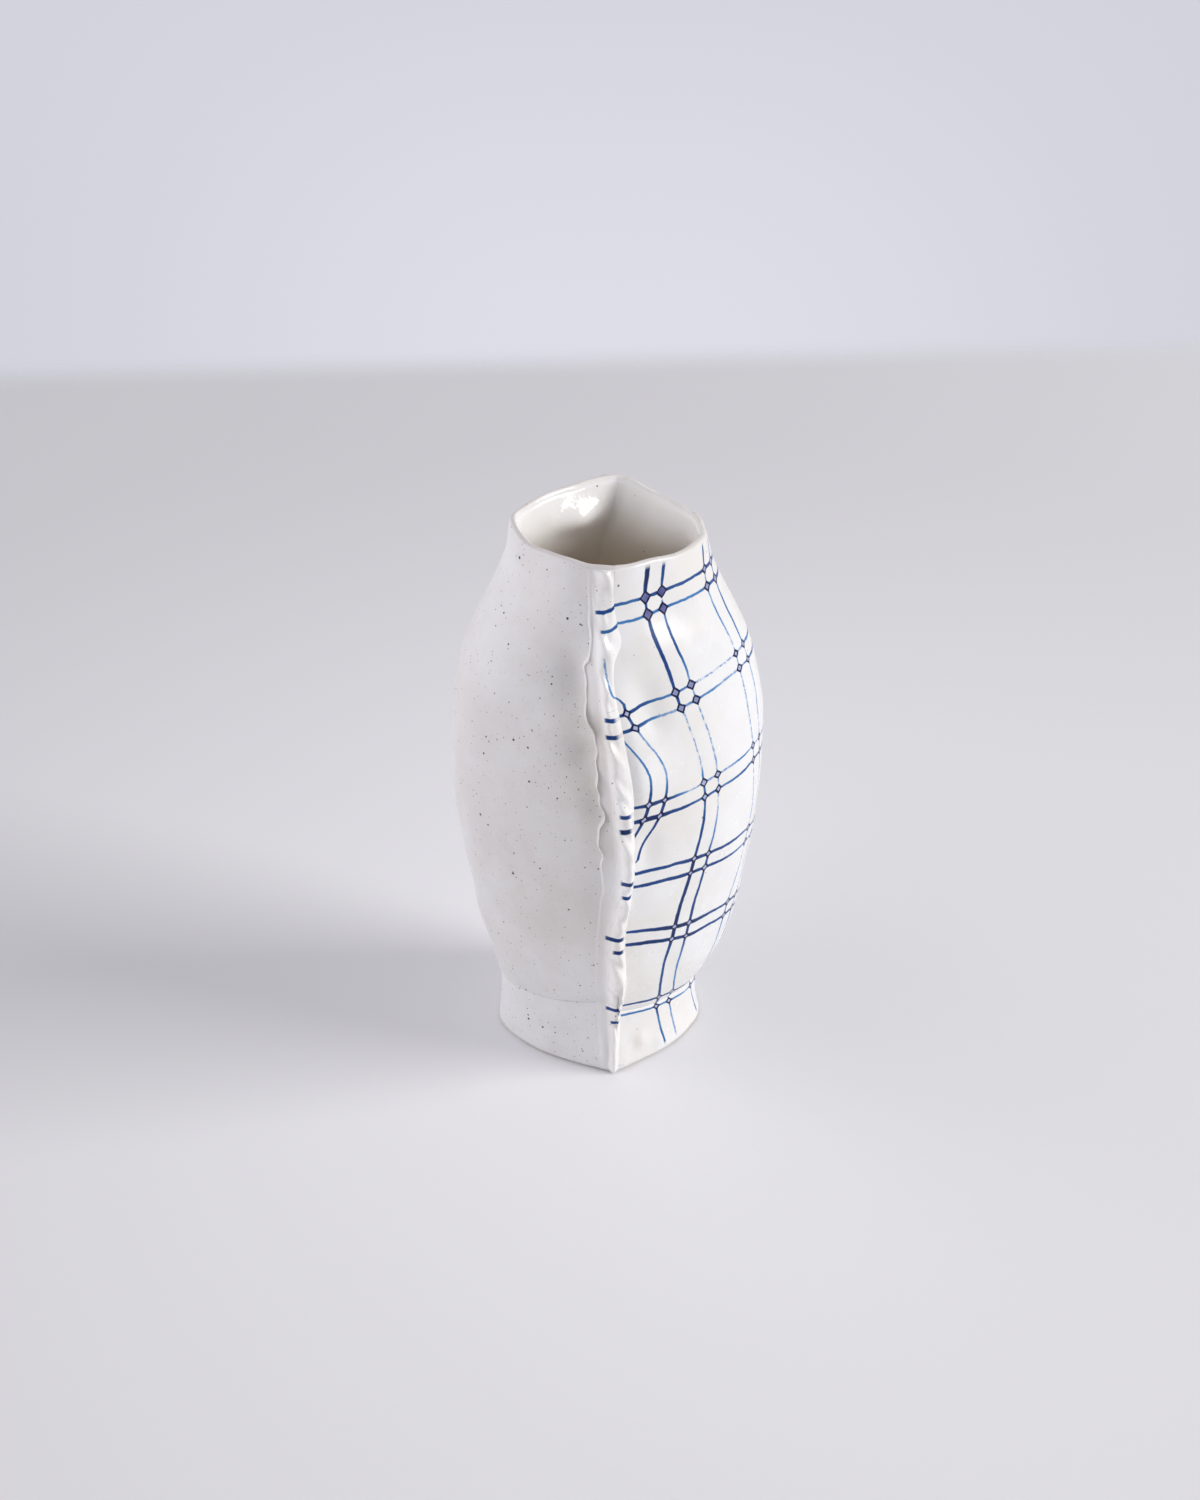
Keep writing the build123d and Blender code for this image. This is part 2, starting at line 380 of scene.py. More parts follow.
def rampMap(position, lines):
    # whole numbers fall on the lines; true size within the window of a line, eased in between
    window = check["window"]
    mapped = np.clip((position - lines[0] + window) / check["pitch"], None, 0) - window / check["pitch"]
    for number, line in enumerate(lines):
        mapped = mapped + np.clip(position - line + window, 0, 2 * window) / check["pitch"]
        if number + 1 < len(lines):
            slack = np.clip(lines[number + 1] - line - 2 * window, 1, None)
            share = np.clip((position - line - window) / slack, 0, 1)
            mapped = mapped + share * (1 - 2 * window / check["pitch"])
    beyond = np.clip(position - lines[-1] - window, 0, None)
    return mapped + beyond / check["pitch"]


def levelMap(reach, z):
    # each level pair leans by its own rise over the part that shows, bows by the seam and runs level behind
    share = np.clip(reach / check["visibleReach"], 0, 1)
    near = np.exp(-(reach / check["bowReach"]) ** 2)
    return rampMap(z, [height + rise * share + bow * near for height, rise, bow in check["levels"]])


def uprightMap(reach, turns, z):
    # each upright pair keeps its turn at every height; the turn is carried to a reach along the row
    lines = []
    column = (len(turns) - 1) / turns[-1]
    rows = np.arange(reach.shape[0])[:, None]
    for upright in check["uprights"]:
        place = smoothList(check["lineHeights"], upright, z) * column
        whole = np.clip(np.floor(place).astype(int), 0, len(turns) - 2)
        low, high = reach[rows, whole], reach[rows, whole + 1]
        hidden = np.clip(place, None, 0) / column * check["hiddenReach"]
        lines.append(low + (high - low) * np.clip(place - whole, 0, 1) + hidden)
    return rampMap(reach, lines)


def slabMap(points, turns):
    # reach is the length along each row from the front seam
    steps = np.linalg.norm(np.diff(points, axis=1), axis=2)
    reach = np.concatenate([np.zeros((len(points), 1)), np.cumsum(steps, axis=1)], axis=1)
    z = points[:, :, 2]
    return np.stack([uprightMap(reach, turns, z), levelMap(reach, z)], -1)


# Slabs: a profile up the outside, over the lip and down the inside, carried from seam to seam

panelForm = {
    "columns": 145,
    "rows": 112,
    "lipRows": 12,
    "bottomRows": 4,
    "bottomRound": 0.5,
    "undercut": 0.5,
    "undercutRise": 1.0,
    "lipThickness": 2.2,
    "lipThinning": 11.0,  # the wall thins to the lip over this much height
    "mouthSwell": 1.9,  # and is thicker this far below it
    "mouthSwellDepth": 12.0,
    # the lip against the frame's height, at the seams and over each slab
    "frontLip": 0.3,
    "rearLip": 1.8,
    "plainLip": 2.0,
    "paintedLip": -2.2,
    # uneven lip: size, waves round, start
    "plainLipWaves": ((0.5, 2.0, 0.3), (0.3, 5.0, 1.2), (0.2, 11.0, 2.0)),
    "paintedLipWaves": ((0.4, 2.0, 2.2), (0.25, 5.6, 0.4), (0.2, 12.0, 1.0)),
    # dips and peaks of the lip: turn, spread, rise
    "plainLipMarks": ((1.12, 0.22, -2.0), (0.40, 0.16, -0.5), (0.14, 0.12, 0.4)),
    "paintedLipMarks": ((2.30, 0.30, -0.8), (1.75, 0.25, 0.5), (0.20, 0.12, -0.4)),
    "inkLipGap": 1.3,  # the lines stop short of the lip
    "clayLipWidth": 1.1,
    # thin glaze and painted shade on the plain slab, darker and warmer by the front seam's dents, over its
    # middle and on the left shoulder: turn, height, spreads, amount
    "glazeAndShadePatches": (
        (0.42, 142, 0.24, 28, 0.9), (0.95, 66, 0.70, 36, 0.4), (0.36, 105, 0.16, 14, 0.4),
        (0.75, 115, 0.35, 70, 0.3), (1.35, 172, 0.40, 20, 0.4), (2.1, 90, 0.6, 50, 0.3),
        (0.28, 195, 0.20, 8, 0.6),
    ),
}
footForm = {
    "columns": 145,
    "rows": 22,
    "topRows": 8,
    "bottomRows": 8,
    "bottomRound": 0.8,
    "undercut": 2.4,  # the foot stands on the table inside its bottom edge
    "undercutRise": 0.35,
    "topRound": 0.4,
    "flareHollow": 0.5,  # the outside of the foot is slightly hollow
    "footClayAndShadowWidth": 1.3,
    "inkFootGap": 2.4,
}


def evenWall(share):
    return slabForm["wall"] + 0 * share


def mouthWall(share):
    # the lip's thickness passes into the wall's as a gaussian, and a swelling rises and dies away below it
    below = (1 - share) * (vaseHeight - waistHeight)
    thin = (panelForm["lipThickness"] - slabForm["wall"]) * np.exp(-(below / panelForm["lipThinning"]) ** 2)
    depth = below / panelForm["mouthSwellDepth"]
    return slabForm["wall"] + thin + panelForm["mouthSwell"] * depth * np.exp(1 - depth)


def shellProfile(form, capRows, capRound, thickness):
    # share runs from the slab's bottom to its top; lift and inset round the bottom edge and both top edges
    rows, bottomRows, bottomRound = form["rows"], form["bottomRows"], form["bottomRound"]
    bottomTurn = np.linspace(0, np.pi / 2, bottomRows, endpoint=False)
    capTurn = np.linspace(0, np.pi / 2, capRows // 2 + 1)
    outerCap, innerCap = capTurn[1:], capTurn[-2::-1]
    outerShare = np.linspace(0, 1, rows)
    innerShare = np.linspace(1, 0, rows + bottomRows)
    share = np.concatenate([0 * bottomTurn, outerShare, 0 * outerCap + 1, 0 * innerCap + 1, innerShare])
    lift = np.concatenate([
        bottomRound * (1 - np.cos(bottomTurn)) ** form["undercutRise"],
        bottomRound * (1 - outerShare) - capRound * outerShare,
        capRound * (np.sin(outerCap) - 1),
        capRound * (np.sin(innerCap) - 1),
        -capRound * innerShare,
    ])
    inset = np.concatenate([
        form["undercut"] * (1 - np.sin(bottomTurn)),
        0 * outerShare,
        capRound * (1 - np.cos(outerCap)),
        thickness(1.0) - capRound * (1 - np.cos(innerCap)),
        thickness(innerShare),
    ])
    innerStart = bottomRows + rows + capRows // 2
    return share[:, None], lift[:, None], inset[:, None], innerStart


def lipHeight(side, turn):
    # the seams' heights pass into the slab's own by sin(turn) squared, with slow waves and gaussian marks
    name = "plain" if side == plainSide else "painted"
    rearward = (1 - np.cos(turn)) / 2
    seamLip = panelForm["frontLip"] * (1 - rearward) + panelForm["rearLip"] * rearward
    rise = seamLip + (panelForm[name + "Lip"] - seamLip) * np.sin(turn) ** 2
    fade = np.clip(np.sin(turn) * 2, 0, 1)
    for size, waves, start in panelForm[name + "LipWaves"]:
        rise = rise + size * np.sin(waves * turn + start) * fade
    for markTurn, spread, height in panelForm[name + "LipMarks"]:
        rise = rise + height * np.exp(-((turn - markTurn) / spread) ** 2) * fade
    return vaseHeight + rise


def buildSlab(side, bottom, top, profile, turns, hollow):
    # the profile carried from seam to seam; both butt ends are closed with quads between its two faces
    share, lift, inset, innerStart = profile
    z = bottom + share * (top - bottom) + lift
    points = slabPoint(side, turns[None, :], z, inset + hollow * np.sin(np.pi * share) * (inset == 0))
    rows, columns = points.shape[:2]
    quads = gridFaces(rows, columns, True, False)
    half = np.arange(rows // 2 - 1)
    butt = np.stack([half, half + 1, rows - 2 - half, rows - 1 - half], -1) * columns
    faces = np.concatenate([quads, butt, butt + columns - 1])
    isInner = (np.arange(rows)[:, None] >= innerStart) * np.ones((1, columns - 1), int)
    faceIndex = np.concatenate([isInner.ravel(), np.ones(2 * len(butt), int)])
    ends = [np.arange(rows) * columns, np.arange(rows) * columns + columns - 1]
    return points, faces, faceIndex, ends


def dressSlab(name, slab, turns, ink, clayAndShade):
    # the check's map, and what brush and glaze do at each point, go onto the mesh
    points, faces, faceIndex, ends = slab
    z = points[:, :, 2]
    values = {
        "inkStrength": ink,
        "clayAndShadeShow": clayAndShade,
        "brushLoad": patchSum(check["loads"], turns[None, :], z),
        "knotGrowth": patchSum(check["knots"], turns[None, :], z),
    }
    piece = makePiece(name, points, faces, uv=slabMap(points, turns), values=values, sharpLoops=ends)
    return piece, faceIndex


def panelPiece(name, side):
    turns = np.linspace(0, np.pi, panelForm["columns"])
    profile = shellProfile(panelForm, panelForm["lipRows"], panelForm["lipThickness"] / 2, mouthWall)
    top = lipHeight(side, turns)[None, :]
    slab = buildSlab(side, waistHeight, top, profile, turns, 0)
    z = slab[0][:, :, 2]
    outside = (np.arange(len(z)) < profile[3])[:, None]
    ink = easeIn((top - z - panelForm["inkLipGap"]) / panelForm["inkLipGap"]) * outside
    clayAndShade = easeIn(1 - (top - z) / panelForm["clayLipWidth"])
    if side == plainSide:
        # thin glaze and painted shade darken the plain slab
        clayAndShade = np.maximum(clayAndShade, patchSum(panelForm["glazeAndShadePatches"], turns[None, :], z) * outside)
    return dressSlab(name, slab, turns, ink, clayAndShade)


def footPiece(name, side):
    turns = np.linspace(0, np.pi, footForm["columns"])
    profile = shellProfile(footForm, footForm["topRows"], footForm["topRound"], evenWall)
    slab = buildSlab(side, 0.0, waistHeight, profile, turns, footForm["flareHollow"])
    z = slab[0][:, :, 2]
    outside = (np.arange(len(z)) < profile[3])[:, None]
    ink = easeIn(z - footForm["inkFootGap"]) * outside
    # bare clay along the foot's bottom edge, doubled to stand also as a painted contact shadow
    clayAndShade = 2 * easeIn(1 - z / footForm["footClayAndShadowWidth"])
    return dressSlab(name, slab, turns, ink, clayAndShade)


# Seam strips: a closed rounded section carried up the seam, its feet bedded on both slabs

stripForm = {
    "rows": 250,
    "sectionPoints": 75,
    "bottom": 0.6,
    "topGap": 0.6,
    "bed": 0.5,  # the feet go this far into the slabs
    # heights at which the ridge is set out; how far it laps over the plain slab and how thick that edge is,
    # the width of its bead's near side, its crest and far edge from the seam line, how proud it stands,
    # and where it meets the painted slab
    "heights": (
        0, 12, 24, 33, 42, 50, 58, 66, 75, 84, 97, 106,
        115, 122, 130, 139, 150, 158, 164, 170, 176, 182, 190, 200,
    ),
    "lap": (
        4.4, 5.6, 7.0, 8.2, 8.8, 9.0, 9.2, 9.2, 8.9, 8.8, 10.0, 11.2,
        10.6, 10.4, 11.0, 9.4, 10.1, 11.7, 11.7, 9.2, 7.2, 7.0, 7.6, 8.6,
    ),
    "step": (
        0.1, 0.1, 0.1, 0.1, 0.1, 0.12, 0.15, 0.18, 0.22, 0.28, 0.6, 1.2,
        1.4, 1.3, 1.5, 1.3, 1.4, 1.5, 1.3, 1.0, 0.6, 0.35, 0.25, 0.2,
    ),
    "bead": (
        1.4, 1.8, 2.3, 2.7, 2.9, 3.0, 3.1, 3.1, 3.0, 3.0, 3.0, 2.8,
        2.5, 2.4, 2.3, 2.2, 2.2, 2.2, 2.2, 2.1, 2.0, 2.3, 2.8, 3.2,
    ),
    "crest": (
        -0.6, -1.0, -1.5, -2.0, -2.3, -2.6, -2.9, -2.9, -2.0, -1.3, -1.6, -2.6,
        -3.6, -3.5, -3.8, -3.8, -3.2, -3.5, -3.8, -4.0, -3.5, -2.9, -3.5, -3.8,
    ),
    "tip": (
        0.4, 0.3, 0.5, 1.7, 1.8, 1.0, -0.2, -0.4, 0.8, 1.5, 1.6, 0.8,
        0.2, 0.2, -0.4, -1.2, -1.2, -1.4, -1.5, -1.5, -1.2, -1.0, -1.6, -2.0,
    ),
    "proud": (
        0.6, 1.2, 2.2, 3.2, 3.5, 3.2, 2.8, 2.9, 3.4, 3.9, 4.0, 3.6,
        3.3, 3.2, 3.2, 2.9, 2.7, 2.6, 2.6, 2.4, 2.3, 1.9, 1.2, 0.5,
    ),
    "foot": (
        1.2, 1.6, 2.0, 2.5, 2.4, 1.8, 1.2, 1.0, 1.4, 1.9, 2.1, 1.6,
        1.6, 2.2, 2.8, 2.8, 2.4, 1.4, 0.8, 1.5, 5.0, 3.0, 1.2, 0.8,
    ),
    "rearShift": 16.0,  # the rear ridge is the same, its pinches this much lower at half height
    "lean": 0.1,  # the bead leans over the painted slab
    # pinched lumps: size, length up, waves across, start
    "lumps": ((0.52, 19.0, 0.4, 0.4), (0.42, 11.5, 0.6, 1.8), (0.2, 7.0, 1.1, 2.9)),
    # the lap's wavy edge: size, length up, start
    "lapWaves": ((0.6, 15.0, 0.6), (0.35, 8.0, 2.0)),
    # how far before the crest the brush ends start, lower and upper line of each level pair
    "inkStarts": ((1.5, 3.1), (1.6, 4.0), (2.0, 2.3), (1.2, 0.9), (1.5, 1.3), (1.3, 2.7)),
    # and how far down its far side they stop, as a share of that side
    "inkEnds": (0.5, 0.5, 0.5, 0.5, 0.4, 1.1),
    "inkEdge": 0.8,
    # they lie below their lines: heights, drops
    "inkDrops": ((0, 126, 142, 158, 172, 200), (1.7, 1.7, 0.2, 0.2, 1.7, 1.7)),
    "inkRise": 0.48,  # and rise with the bead, so they look level from above
    "inkClimb": 1.6,  # then climb towards the painted slab
    "inkJoin": 170.0,  # above this they run on into the lines
    # one upright stroke runs up onto the ridge: heights, distance from the seam line
    "strokeHeights": (155, 157, 160, 163, 168, 172.5),
    "strokeAcross": (4.2, 3.2, -0.2, -1.4, -2.4, -2.9),
    "strokeLoad": -0.1,
    "inkLoads": (0.3, 0.7, 0.45, 0.5, 0.45, 0.0),  # on each level pair
    "clayAndShadeHeight": 148.0,  # clay shows through and shade is painted beside the bead's near foot round this height
    "clayAndShadeSpread": 26.0,
    "lapToneTurn": 0.33,  # the lap takes the plain slab's thin glaze and painted shade from this turn
}


def seamSpot(facing, across, z):
    # the slab's own face at a distance from the seam; the turn that gives that distance is closed in on
    tip = slabPoint(paintedSide, 0.0 if facing == frontSeam else np.pi, z, 0.0)
    spot = np.zeros(np.broadcast(across, z).shape + (3,))
    for side in (plainSide, paintedSide):
        distance = np.clip(side * across, 0.001, None) * np.ones_like(z)
        turn = (distance / 60) ** 0.55
        for _ in range(14):
            found = slabPoint(side, turn if facing == frontSeam else np.pi - turn, z, 0.0)
            away = np.hypot(found[..., 0] - tip[..., 0], found[..., 1] - tip[..., 1])
            turn = np.clip(turn * (distance / np.clip(away, 1e-4, None)) ** 0.5, 1e-4, 1.2)
        spot = np.where((side * across >= 0)[..., None], found, spot)
    return spot


def closedSpline(count, controls):
    # weights of a closed cubic B-spline: each of its points blends four neighbouring controls
    place = np.linspace(0, controls, count, endpoint=False)
    away = (place[:, None] - np.arange(controls)[None, :] + controls / 2) % controls - controls / 2
    away = np.abs(away)
    near = (4 - 6 * away ** 2 + 3 * away ** 3) / 6
    far = np.clip(2 - away, 0, None) ** 3 / 6
    return np.where(away < 1, near, far)


def stripPiece(name, facing):
    atFront = facing == frontSeam
    top = lipHeight(plainSide, 0.0 if atFront else np.pi) - stripForm["topGap"]
    z = np.linspace(stripForm["bottom"], top, stripForm["rows"])
    listed = z if atFront else z + stripForm["rearShift"] * np.sin(np.pi * z / top)
    lap, step, bead, crest, tip, proud, foot = (
        smoothList(stripForm["heights"], stripForm[part], listed)
        for part in ("lap", "step", "bead", "crest", "tip", "proud", "foot")
    )
    near = crest - 1.1 * bead
    far = tip - crest
    for size, length, start in stripForm["lapWaves"]:
        lap = lap + size * np.sin(2 * np.pi * z / length + start) * np.clip(step, 0, 1)
    lap = np.maximum(lap, 1.0 - near)
    bed = -stripForm["bed"] + 0 * z
    # section from the lap's edge, rolled where it is thick and feathered where it is thin,
    # over the bead to the painted slab and back underneath
    thick = np.clip(step / 0.8, 0, 1)
    thin = 1 - thick
    across = np.stack([
        -lap + 0.3 * thick - 1.6 * thin, -lap + 0.1 * thick - 0.7 * thin, -lap - 0.15 * thick,
        -lap + 0.25, -lap + 0.9, 0.5 * (near - lap + 0.9),
        near, crest - 0.8 * bead, crest - 0.3 * bead,
        crest + 0.3 * far, crest + 0.8 * far, np.maximum(tip + 0.1, 0.5 * (tip + foot)),
        foot + 0.4, 0.3 + 0 * z, -0.5 * lap,
    ])
    height = np.stack([
        -0.1 + (bed + 0.1) * thick, 0.1 * step - 0.03 * thin, (0.7 + 0.3 * thick) * step,
        (1 + 0.9 * thick) * step, (1 - 0.3 * thick) * step,
        (0.85 - 0.2 * thick) * step + 0.05 * proud * thin,
        0.55 * step + (0.1 + 0.08 * thin) * proud, 0.65 * proud, 1.1 * proud,
        1.1 * proud, 0.75 * proud, 0.25 * proud,
        bed, 2 * bed, 2 * bed,
    ])
    weights = closedSpline(stripForm["sectionPoints"], len(across))
    a, h = (weights @ across).T, (weights @ height).T
    for size, length, wavesAcross, start in stripForm["lumps"]:
        wave = np.sin(2 * np.pi * z[:, None] / length + wavesAcross * a + start)
        h = h + size * wave * easeIn(h / proud[:, None])
    base = seamSpot(facing, a, z[:, None])
    lean = stripForm["lean"]
    points = base + h[..., None] * np.array([np.sin(lean), facing * np.cos(lean), 0.0])
    rows, columns = a.shape
    quads = gridFaces(rows, columns, False, True)
    flat = np.concatenate([points.reshape(-1, 3), points[[0, -1]].mean(axis=1)])
    # brush ends: level over the near side of the bead, then up to the line on the painted slab
    past = np.clip((a - crest[:, None]) / (foot - crest)[:, None], 0, 1)
    joined = (past > 0) & (z[:, None] > stripForm["inkJoin"])
    below = np.interp(z, *stripForm["inkDrops"])[:, None]
    apart = below + stripForm["inkRise"] * (proud[:, None] - h) - stripForm["inkClimb"] * past ** 2
    drop = np.where(joined, below * (1 - past ** 2), apart)
    level = levelMap(0 * a, base[..., 2] + drop)
    pair = np.clip(np.floor(level + 0.5), 0, len(check["levels"]) - 1).astype(int)
    reach = np.array(stripForm["inkStarts"])[pair, (level > pair).astype(int)]
    ink = easeIn((a - crest[:, None] + reach) / stripForm["inkEdge"])
    skipped = easeIn((past - np.array(stripForm["inkEnds"])[pair]) / 0.3)
    heights = stripForm["strokeHeights"]
    stroke = a - smoothList(heights, stripForm["strokeAcross"], z)[:, None] + brush["uprightGap"]
    onStroke = ((z > heights[0]) & (z < heights[-1]))[:, None] & (a > crest[:, None])
    u = np.where(onStroke, np.clip(stroke / check["pitch"], 0, 0.5), 0.5)
    ink = np.where(onStroke, 1, ink * (1 - 0.8 * skipped))
    ink = ink * (z[:, None] > waistHeight / 2) * atFront
    beside = 1 - easeIn((a - near[:, None] + 0.6) / (0.9 * bead)[:, None])
    # the lap's edge takes the whiter seam glaze, partly a painted highlight along its rolled rim
    edge = np.exp(-((a + lap[:, None] - 0.3) / 0.5) ** 2) * thick[:, None]
    # bare clay and painted shade in a band along the bead's near foot
    clayAndShadeBand = np.exp(-((a - near[:, None] - 0.4) / 0.9) ** 2)
    clayAndShadeBand = clayAndShadeBand * np.exp(-((z[:, None] - stripForm["clayAndShadeHeight"]) / stripForm["clayAndShadeSpread"]) ** 2)
    clayAndShade = 0.6 * clayAndShadeBand + beside * patchSum(panelForm["glazeAndShadePatches"], stripForm["lapToneTurn"], z[:, None])
    load = np.where(onStroke, stripForm["strokeLoad"], np.array(stripForm["inkLoads"])[pair])
    uv = np.stack([u, level], -1).reshape(-1, 2)
    return makePiece(
        name, flat, quads, capFans(rows, columns),
        uv=np.concatenate([uv, uv[:2]]),
        values={
            "inkStrength": np.append(ink.ravel(), [0, 0]),
            "clayAndShadeShow": np.append(clayAndShade.ravel(), [0, 0]),
            "plainShare": np.append((beside * (1 - 0.8 * edge)).ravel(), [1, 1]),
            "brushLoad": np.append(load.ravel(), [0, 0]),
        },
    )


# Floor slab and the coil in its corner

floorForm = {
    "columns": 192,
    "rings": 18,
    "edgeRound": 0.8,
    "underHollow": 0.35,
    "dish": 0.5,
    "underShare": 0.985,  # where the rounding of the lower and upper edge starts
    "overShare": 0.992,
    "coilRows": 12,
    "coilBackRows": 6,
    "coilWidth": 4.0,
    "coilFeather": 0.6,
    "coilHollow": 0.7,
    "thumbWaves": 22,
    "thumbSize": 0.25,
}


def ringPoint(angle, z, inset):
    # all the way round: painted slab for the first half turn, plain slab back for the second
    painted = slabPoint(paintedSide, np.clip(angle, 0, np.pi), z, inset)
    plain = slabPoint(plainSide, np.clip(2 * np.pi - angle, 0, np.pi), z, inset)
    return np.where((angle <= np.pi)[..., None], painted, plain)


def floorPiece(name):
    wall, top = slabForm["wall"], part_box("floor_slab")[1].z / mm
    angle = np.linspace(0, 2 * np.pi, floorForm["columns"], endpoint=False)[None, :]
    share = np.linspace(0, 1, floorForm["rings"] + 1)[1:, None]
    edge = floorForm["edgeRound"]
    rim = ringPoint(angle, np.full_like(angle, top / 2), wall + 0 * angle)[0]
    under = rim[None] * (share * floorForm["underShare"])[..., None]
    under[..., 2] = floorForm["underHollow"] * (1 - share ** 4)
    over = rim[None] * (share * floorForm["overShare"])[..., None]
    over[..., 2] = top - floorForm["dish"] * (1 - share ** 2)
    side = np.stack([rim, rim])
    side[0, :, 2], side[1, :, 2] = edge, top - edge
    loop = np.concatenate([under, side, over[::-1]])
    rows, columns = loop.shape[:2]
    quads = gridFaces(rows, columns, False, True)
    poles = np.array([[0, 0, floorForm["underHollow"]], [0, 0, top - floorForm["dish"]]])
    flat = np.concatenate([loop.reshape(-1, 3), poles])
    piece = makePiece(name, flat, quads, capFans(rows, columns))
    isOver = np.repeat(np.arange(rows - 1) >= floorForm["rings"], columns)
    return piece, np.concatenate([isOver, np.zeros(columns), np.ones(columns)])


def coilPiece(name):
    low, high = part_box("floor_coil")
    bottom, top = low.z / mm, high.z / mm
    wall, width, feather = slabForm["wall"], floorForm["coilWidth"], floorForm["coilFeather"]
    angle = np.linspace(0, 2 * np.pi, floorForm["columns"], endpoint=False)[None, :]
    t = np.linspace(0, 1, floorForm["coilRows"])[:, None]
    press = floorForm["thumbSize"] * np.cos(floorForm["thumbWaves"] * angle)
    bow = np.sin(np.pi * t)
    slope = wall + width + (feather - width) * t - floorForm["coilHollow"] * bow + press * bow
    faceZ = bottom + (top - bottom) * t + 0 * angle
    backT = np.linspace(1, 0, floorForm["coilBackRows"])[:, None]
    backZ = bottom + (top - bottom) * backT + 0 * angle
    inset = np.concatenate([slope + 0 * angle, wall + 0 * backZ])
    z = np.concatenate([faceZ, backZ])
    points = ringPoint(angle + 0 * z, z, inset)
    points[..., 2] = z
    return makePiece(name, points, gridFaces(*z.shape, True, True))


def emptyTree(owner):
    owner.use_nodes = True
    owner.node_tree.nodes.clear()
    return owner.node_tree


def put(tree, kind, settings=None, inputs=None):
    node = tree.nodes.new(kind)
    for key, value in (settings or {}).items():
        setattr(node, key, value)
    for key, value in (inputs or {}).items():
        if isinstance(value, bpy.types.NodeSocket):
            tree.links.new(value, node.inputs[key])
        else:
            node.inputs[key].default_value = value
    return node


def calc(tree, operation, *values):
    return put(tree, "ShaderNodeMath", {"operation": operation}, dict(enumerate(values))).outputs[0]


def fade(tree, value, start, end):
    # smooth step of a value from 0 at start to 1 at end
    inputs = {0: value, 1: start, 2: end, 3: 0.0, 4: 1.0}
    node = put(tree, "ShaderNodeMapRange", {"interpolation_type": "SMOOTHSTEP"}, inputs)
    return node.outputs[0]


def mix(tree, share, first, second):
    inputs = {0: share, 6: first, 7: second}
    return put(tree, "ShaderNodeMix", {"data_type": "RGBA"}, inputs).outputs[2]


def noise(tree, place, size, detail=2.0):
    # size is the width of one cloud in millimetres
    inputs = {"Vector": place, "Scale": 1 / (size * mm), "Detail": detail}
    return put(tree, "ShaderNodeTexNoise", None, inputs).outputs[0]


def attribute(tree, name):
    return put(tree, "ShaderNodeAttribute", {"attribute_name": name}).outputs["Fac"]


def speckles(tree, place, cell, radius, share):
    # one grain in each cell that is picked, with its own size
    cells = put(tree, "ShaderNodeTexVoronoi", None, {"Vector": place, "Scale": 1 / (cell * mm)})
    pick = put(tree, "ShaderNodeSeparateColor", None, {0: cells.outputs["Color"]})
    size = calc(tree, "MULTIPLY_ADD", pick.outputs[1], radius / cell * 0.7, radius / cell * 0.5)
    grain = fade(tree, calc(tree, "DIVIDE", cells.outputs["Distance"], size), 1.0, 0.65)
    return calc(tree, "MULTIPLY", grain, calc(tree, "LESS_THAN", pick.outputs[0], share))


glazes = {
    "speckledStoneware": {
        "pale": (0.755, 0.75, 0.75, 1), "deep": (0.70, 0.675, 0.66, 1), "roughness": (0.3, 0.46),
        "grains": (
            (2.3, 0.32, 0.35, 0.8), (4.3, 0.48, 0.4, 1.0), (9.5, 0.68, 0.4, 1.0),
            (1.1, 0.17, 0.4, 0.5), (1.6, 0.24, 0.4, 0.7),
        ),
        "bump": 0.5, "check": False,
    },
    "paintedGlaze": {
        "pale": (0.85, 0.85, 0.845, 1), "deep": (0.815, 0.795, 0.755, 1), "roughness": (0.16, 0.3),
        "grains": ((4.0, 0.32, 0.4, 0.5), (9.0, 0.5, 0.4, 0.8)),
        "bump": 0.18, "check": True,
    },
    "seamGlaze": {
        "pale": (0.91, 0.90, 0.885, 1), "deep": (0.84, 0.81, 0.77, 1), "roughness": (0.1, 0.22),
        "grains": ((2.3, 0.29, 0.4, 0.6), (4.3, 0.41, 0.42, 0.8), (1.1, 0.17, 0.4, 0.4)),
        "bump": 0.3, "check": True, "beside": "speckledStoneware",
    },
    "insideGlaze": {
        "pale": (0.945, 0.935, 0.92, 1), "deep": (0.92, 0.90, 0.865, 1), "roughness": (0.06, 0.14),
        "grains": ((5.0, 0.3, 0.4, 0.6), (9.0, 0.5, 0.4, 0.85)),
        "bump": 0.35, "check": False,
        "insideShade": (0.92, 0.81, 0.66, 1), "insideShadeHeights": (0.197, 0.155),  # painted shade: darker and warmer deeper inside
    },
    "bareClay": {
        "pale": (0.66, 0.575, 0.475, 1), "deep": (0.57, 0.48, 0.385, 1), "roughness": (0.75, 0.92),
        "grains": ((2.0, 0.24, 0.6, 0.7), (4.5, 0.44, 0.4, 0.9)),
        "bump": 0.6, "check": False,
    },
}
iron = (0.045, 0.029, 0.021, 1)
clayAndShadeColour = (0.60, 0.52, 0.44, 1)
clouding = {
    "broad": (34.0, 0.75),  # size of the clouds in the glaze and their share
    "fine": (6.0, 0.25),
    "shades": (0.38, 0.66),
    "roughSize": 9.0,
    "roughShades": (0.25, 0.75),
    "stainSize": 8.0,
    "stainShades": (0.35, 0.68),
    "stain": (0.2, 0.24),
    "broadRelief": (7.0, 0.7),
    "fineRelief": (1.4, 0.3),
    "reliefDepth": 0.5,
    "shine": 0.5,
    "inkDulling": -0.3,  # ink shines less than bare glaze
}
